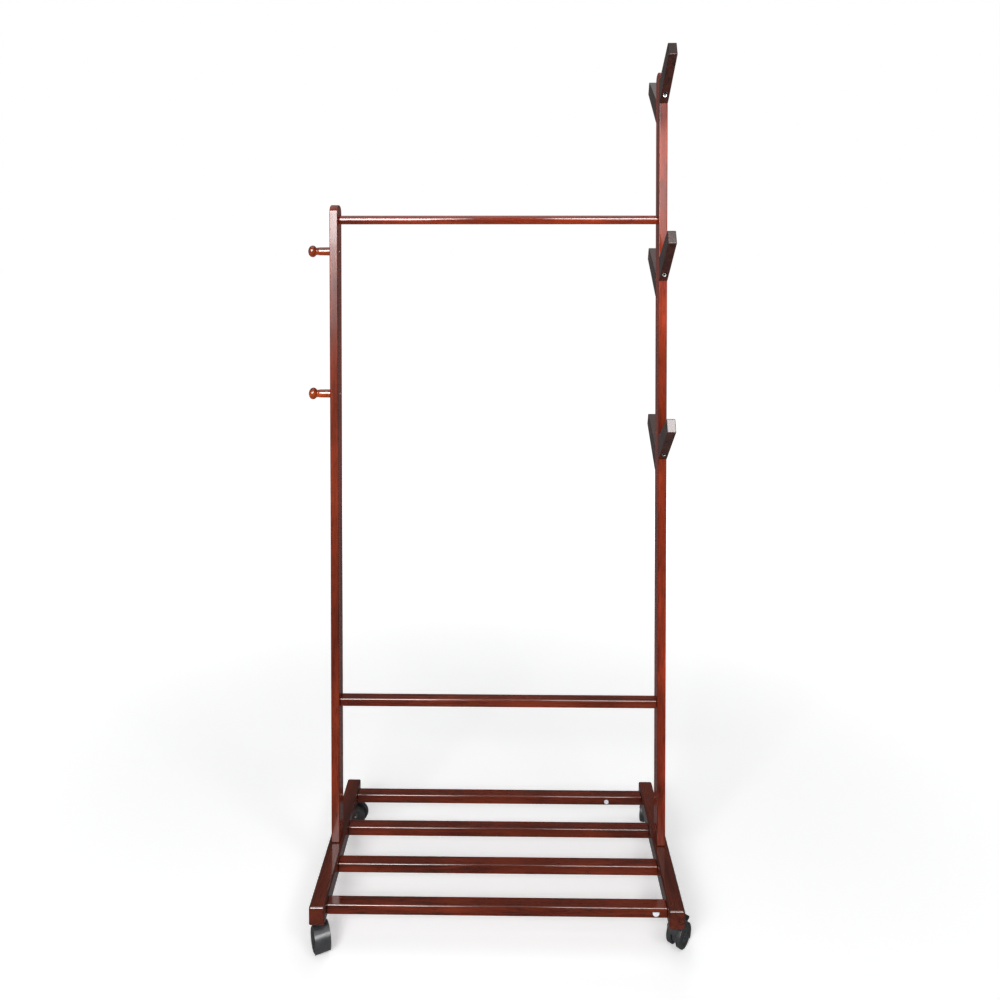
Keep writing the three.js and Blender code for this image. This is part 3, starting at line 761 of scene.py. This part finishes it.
# ---------------------------------------------------------------- slat caps
# Small white plastic caps pushed into the outer two slats over their fittings: the front one has a
# flat top and a round underside, the rear one is round with an open middle.
cap_plastic = bpy.data.materials.new("white cap plastic")
cap_plastic.use_nodes = True
tree = cap_plastic.node_tree
surface = tree.nodes["Principled BSDF"]
place, mottle = tree.nodes.new("ShaderNodeTexCoord"), tree.nodes.new("ShaderNodeTexNoise")
mottle.inputs["Scale"].default_value = 300
tree.links.new(place.outputs["Object"], mottle.inputs["Vector"])
tone = tree.nodes.new("ShaderNodeValToRGB")
tone.color_ramp.elements[0].color = (0.74, 0.74, 0.80, 1)
tone.color_ramp.elements[1].color = (0.90, 0.90, 0.93, 1)
tree.links.new(mottle.outputs["Fac"], tone.inputs["Fac"])
tree.links.new(tone.outputs["Color"], surface.inputs["Base Color"])
surface.inputs["Roughness"].default_value = 0.35
middle, size = box_of("front_slat_cap")
cap = board("front_slat_cap_plastic", cap_outline(size[0]), size[1], 0.4 * MM, middle, (0, -1, 0), (1, 0, 0))
dress(cap, "frame", ["front_slat_cap"], cap_plastic)

middle, size = box_of("rear_slat_cap")
back, radius, thick = middle + (0, size[1] / 2, 0), size[2] / 2, size[1]
turn = np.linspace(0, pi / 2, 6)
rim = [(radius - 0.6 * MM * (1 - cos(t)), thick - 0.6 * MM + 0.6 * MM * sin(t)) for t in turn]
rings = [(0.1 * MM, 0), (radius, 0)] + rim + [
    (0.56 * radius, thick), (0.5 * radius, thick - 0.25 * MM), (0.48 * radius, 0.5 * MM),
    (0.1 * MM, 0.5 * MM)]
cap = turned(rings, (0, -1, 0), back, 48, None, "rear_slat_cap_plastic")
dress(cap, "frame", ["rear_slat_cap"], cap_plastic)

# ---------------------------------------------------------------- caster stems
# A turned steel stem is pressed up into each beam's end: a shank in the wood, a flange against the
# beam's underside, and a pin below, on which the caster's hood turns.
for corner in CORNERS:
    middle, size = box_of(f"{corner}_stem")
    foot, long = middle - (0, 0, size[2] / 2), size[2]
    beam_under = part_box(f"{'left' if corner.endswith('left') else 'right'}_foot_beam")[0].z
    flange = beam_under - foot[2]
    rings = [
        (0.1 * MM, 0), (2.4 * MM, 0), (3 * MM, 0.6 * MM), (3 * MM, flange - 1.2 * MM),
        (7.0 * MM, flange - 1.2 * MM), (7.5 * MM, flange - 1.0 * MM), (7.5 * MM, flange - 0.5 * MM),
        (7.3 * MM, flange - 0.3 * MM), (4 * MM, flange - 0.3 * MM),
    ]
    for ridge in np.arange(flange + 2 * MM, long - 4 * MM, 2.5 * MM):
        rings += [(4 * MM, ridge), (3.6 * MM, ridge + 0.4 * MM), (4 * MM, ridge + 1.4 * MM)]
    rings += [(4 * MM, long - 1.2 * MM), (2.8 * MM, long), (0.1 * MM, long)]
    stem = turned(rings, (0, 0, 1), foot, 48, None, f"{corner}_stem_steel")
    dress(stem, "frame", [f"{corner}_stem"], plating)

# ---------------------------------------------------------------- caster hoods
# Each caster's hood is one moulding of satin dark grey nylon: a thin shield over both wheels, a web
# between them that carries the axle, and a boss round the stem. It swivels on the stem.
SHIELD_OUTER, SHIELD_INNER = 22.7 * MM, 21.2 * MM
SHIELD_HALF = 14 * MM
SHIELD_FROM, SHIELD_TO = radians(-38), radians(135)
WEB_HALF, HUB = 4.5 * MM, 15 * MM
BOSS, BOSS_LOW = 9 * MM, 28 * MM
STEM_BORE, AXLE_BORE, PIN_BORE = 3.3 * MM, 2.3 * MM, 1.2 * MM


def moulded(name, low, high, rough, grain=1400, shine=0.5):
    """Moulded plastic: a fine spark-eroded grain in the bump, with clouds in colour and roughness."""
    material = bpy.data.materials.new(name)
    material.use_nodes = True
    tree = material.node_tree
    link, new = tree.links.new, tree.nodes.new
    surface = tree.nodes["Principled BSDF"]
    place = new("ShaderNodeTexCoord")
    cloud, fine = new("ShaderNodeTexNoise"), new("ShaderNodeTexNoise")
    cloud.inputs["Scale"].default_value = 120
    cloud.inputs["Detail"].default_value = 5
    fine.inputs["Scale"].default_value = grain
    link(place.outputs["Object"], cloud.inputs["Vector"])
    link(place.outputs["Object"], fine.inputs["Vector"])
    tone = new("ShaderNodeValToRGB")
    tone.color_ramp.elements[0].position, tone.color_ramp.elements[0].color = 0.3, (*low, 1)
    tone.color_ramp.elements[1].position, tone.color_ramp.elements[1].color = 0.7, (*high, 1)
    link(cloud.outputs["Fac"], tone.inputs["Fac"])
    link(tone.outputs["Color"], surface.inputs["Base Color"])
    dull = new("ShaderNodeMapRange")
    dull.inputs["To Min"].default_value = rough - 0.06
    dull.inputs["To Max"].default_value = rough + 0.08
    link(cloud.outputs["Fac"], dull.inputs["Value"])
    link(dull.outputs["Result"], surface.inputs["Roughness"])
    skin_bump = new("ShaderNodeBump")
    skin_bump.inputs["Strength"].default_value = 0.18
    skin_bump.inputs["Distance"].default_value = 0.06 * MM
    link(fine.outputs["Fac"], skin_bump.inputs["Height"])
    link(skin_bump.outputs["Normal"], surface.inputs["Normal"])
    surface.inputs["Specular IOR Level"].default_value = shine
    return material


def sector(inner, outer, start, stop):
    """The outline of part of a ring: the outer arc one way, the inner arc back, and a half turn round
    each end, whose centre lies midway between the arcs."""
    turn = np.linspace(start, stop, 60)
    radial = np.stack([np.cos(turn), np.sin(turn)], 1)
    half, mid = (outer - inner) / 2, (outer + inner) / 2
    swing = np.linspace(0, pi, 9)[1:-1]
    parts, normals = [outer * radial], [radial]
    for at, sense in ((stop, 1), (start, -1)):
        way = np.array([cos(at), sin(at)]) * sense
        on = np.array([-sin(at), cos(at)]) * sense
        normal = np.cos(swing)[:, None] * way + np.sin(swing)[:, None] * on
        parts.append(mid * way * sense + half * normal)
        normals.append(normal)
        if sense > 0:
            parts.append(inner * radial[::-1])
            normals.append(-radial[::-1])
    return np.concatenate(parts), np.concatenate(normals)


hood_plastic = moulded("hood nylon", (0.036, 0.036, 0.039), (0.056, 0.056, 0.060), 0.3, shine=1.0)
swivels = {j["child"]: j for j in frame["joints"]}
casters = {}
for corner in CORNERS:
    stem = np.array(swivels[f"{corner}_swivel"]["pos_m"])
    stem[2] = 0
    beside = np.array(swivels[f"{corner}_left_roller"]["axis"], float)
    trail = np.array([beside[1], -beside[0], 0])
    left_hub = np.array(swivels[f"{corner}_left_roller"]["pos_m"])
    hub = (left_hub + swivels[f"{corner}_right_roller"]["pos_m"]) / 2
    casters[corner] = stem, trail, beside, hub
    across = -beside  # so that the outline's first direction is the trail and its second is up
    shield = sector(SHIELD_INNER, SHIELD_OUTER, SHIELD_FROM, SHIELD_TO)
    shell = board(f"{corner}_hood_moulding", shield, 2 * SHIELD_HALF, 0.6 * MM, hub, across, trail)
    wedge = np.linspace(SHIELD_FROM + 0.02, SHIELD_TO - 0.02, 48)
    arc = np.stack([np.cos(wedge), np.sin(wedge)], 1) * (SHIELD_INNER + 0.7 * MM)
    fan = np.concatenate([[[0, 0]], arc])
    rings = np.array([
        [hub + w * across + p[0] * trail + (0, 0, p[1]) for p in fan] for w in (-WEB_HALF, WEB_HALF)])
    web = skin("tool", rings)
    round_hub = turned([(0.3 * MM, -WEB_HALF), (HUB - 0.6 * MM, -WEB_HALF), (HUB, -WEB_HALF + 0.6 * MM),
                        (HUB, WEB_HALF - 0.6 * MM), (HUB - 0.6 * MM, WEB_HALF), (0.3 * MM, WEB_HALF)],
                       beside, hub, 64)
    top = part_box(f"{corner}_caster_hood")[1].z
    collar = turned([
        (0.3 * MM, BOSS_LOW), (BOSS, BOSS_LOW), (BOSS, top - 0.8 * MM),
        (BOSS - 0.25 * MM, top - 0.25 * MM), (BOSS - 0.8 * MM, top), (0.3 * MM, top),
    ], (0, 0, 1), stem, 56)
    for side in (-1, 1):
        room = turned([
            (0.3 * MM, WEB_HALF), (SHIELD_INNER, WEB_HALF), (SHIELD_INNER, 22 * MM), (0.3 * MM, 22 * MM),
        ], side * beside, hub, 96)
        combine(collar, [room])
    combine(shell, [web, round_hub, collar], "UNION")
    tools = [
        hole(stem, (0, 0, 1), STEM_BORE, 24 * MM, 60 * MM),
        hole(hub, beside, AXLE_BORE, -20 * MM, 20 * MM),
    ]
    if f"{corner}_brake_lever" in nodes:
        pivot = np.array(swivels[f"{corner}_brake"]["pos_m"])
        pocket = rounded_outline(rectangle(20 * MM, 8.6 * MM), 0.3 * MM)
        middle = pivot + 6 * MM * trail + (0, 0, 0.9 * MM)
        tools.append(board("tool", pocket, 5.8 * MM, 0.1 * MM, middle, across, trail))
        tools.append(hole(pivot, beside, PIN_BORE, -9 * MM, 9 * MM))
    combine(shell, tools)
    dress(shell, f"{corner}_swivel", [f"{corner}_caster_hood"], hood_plastic, 35)

# ---------------------------------------------------------------- axles and brake pins
# A steel axle with chamfered ends is pressed through each hood's web and carries both wheels. A thin
# steel pin through the hood carries each brake lever.
for corner, (stem, trail, beside, hub) in casters.items():
    for node, radius, half in (
            (f"{corner}_axle", 2 * MM, 13.4 * MM), (f"{corner}_brake_pin", 0.9 * MM, 4.3 * MM)):
        if node not in nodes:
            continue
        middle = hub if node.endswith("axle") else np.array(swivels[f"{corner}_brake"]["pos_m"])
        bevel = 0.3 * radius
        rings = [(0.05 * MM, -half), (radius - bevel, -half), (radius, -half + bevel),
                 (radius, half - bevel), (radius - bevel, half), (0.05 * MM, half)]
        pin = turned(rings, beside, middle, 40, None, f"{node}_steel")
        dress(pin, f"{corner}_swivel", [node], plating)

# ---------------------------------------------------------------- wheels
# Each wheel is moulded in one piece of dark grey nylon: a smooth crowned tread, a raised rim with a
# ring of small dimples, a sunk face and a hub round the axle. It turns freely on the axle.
WHEEL, INSIDE, OUTSIDE = 20 * MM, 4.9 * MM, 13.8 * MM
DIMPLES, AROUND, DIMPLE_DEPTH = 30, 180, 0.7 * MM
wheel_plastic = moulded("wheel nylon", (0.030, 0.030, 0.032), (0.050, 0.051, 0.052), 0.42, 1800)


def wheel_rings():
    """The wheel's section, from the bore over the inner face, round the tread and back over the outer
    face: radius, distance from the caster's middle, and how far a dimple sinks there."""
    bore = AXLE_BORE
    curve = np.linspace(0, pi / 2, 6)
    small, large = 0.7 * MM, 1.6 * MM
    inner = [(WHEEL - small * (1 - sin(t)), INSIDE + small * (1 - cos(t)), 0) for t in curve]
    width = OUTSIDE - INSIDE - small - large
    tread = [
        (WHEEL - 0.15 * MM * s * s, INSIDE + small + (s + 1) / 2 * width, 0)
        for s in np.linspace(-1, 1, 7)[1:-1]
    ]
    outer = [(WHEEL - large * (1 - cos(t)), OUTSIDE - large * (1 - sin(t)), 0) for t in curve]
    face = [
        (17.6, 0, 0), (17.1, 0, 0.6), (16.4, 0, 1), (15.7, 0, 0.6), (15.2, 0, 0), (14.4, 0, 0),
        (13.9, 0.3, 0), (13.4, 1.2, 0), (12.8, 1.5, 0), (8.2, 1.5, 0), (7.6, 1.2, 0), (7.1, 0.3, 0),
        (6.6, 0, 0), (2.9, 0, 0),
    ]
    back = [
        (bore, INSIDE, 0), (6.5 * MM, INSIDE, 0), (7.0 * MM, INSIDE + 0.9 * MM, 0),
        (16.8 * MM, INSIDE + 0.9 * MM, 0), (17.3 * MM, INSIDE, 0),
    ]
    dish = [(r * MM, OUTSIDE - s * MM, d) for r, s, d in face]
    return np.array(back + inner + tread + outer + dish + [(bore, OUTSIDE - 0.5 * MM, 0)])


section = wheel_rings()
angle = np.arange(AROUND) * 2 * pi / AROUND
ripple = (0.5 + 0.5 * np.cos(DIMPLES * angle)) ** 2
for corner, (stem, trail, beside, hub) in casters.items():
    for side, sign in (("left", 1), ("right", -1)):
        out = sign * beside
        second = np.cross(out, trail)
        radial = np.cos(angle)[:, None] * trail + np.sin(angle)[:, None] * second
        stand = section[:, 1, None] - DIMPLE_DEPTH * section[:, 2, None] * ripple
        rings = hub + section[:, 0, None, None] * radial + stand[..., None] * out
        wheel = skin(f"{corner}_{side}_wheel_nylon", rings, loop=True)
        node = f"{corner}_{side}_wheel"
        dress(wheel, f"{corner}_{side}_roller", [node], wheel_plastic, 40)

# ---------------------------------------------------------------- brake levers
# Two casters have a brake: a nylon lever on a pin in the hood's web, with a broad ribbed tab that
# sticks out for the toe to press down.
LEVER_TILT = radians(15)
lever_plastic = moulded("lever nylon", (0.014, 0.014, 0.015), (0.024, 0.024, 0.026), 0.4)
for corner, (stem, trail, beside, hub) in casters.items():
    node = f"{corner}_brake_lever"
    if node not in nodes:
        continue
    pivot = np.array(swivels[f"{corner}_brake"]["pos_m"])
    along = cos(LEVER_TILT) * trail + sin(LEVER_TILT) * np.array([0, 0, 1])
    upright = np.cross(along, beside)
    outline = [
        (-2.1, -2.5), (8.3, -2.5), (8.3, -5), (19.08, -5), (19.08, 5), (8.3, 5), (8.3, 2.5), (-2.1, 2.5)]
    outline = rounded_outline(np.array(outline) * MM, 0.6 * MM, 4)
    lever = board(f"{node}_nylon", outline, 3 * MM, 0.4 * MM, pivot, upright, along)
    ribs = []
    for place in (11.3, 13.4, 15.5, 17.6):
        at = pivot + place * MM * along + 1.5 * MM * upright
        bar_shape = rounded_outline(rectangle(0.8 * MM, 0.7 * MM), 0.27 * MM, 3)
        ribs.append(board("tool", bar_shape, 8.2 * MM, 0.2 * MM, at, beside, along))
    combine(lever, ribs, "UNION")
    combine(lever, [hole(pivot, beside, PIN_BORE, -9 * MM, 9 * MM)])
    dress(lever, f"{corner}_brake", [node], lever_plastic, 35)
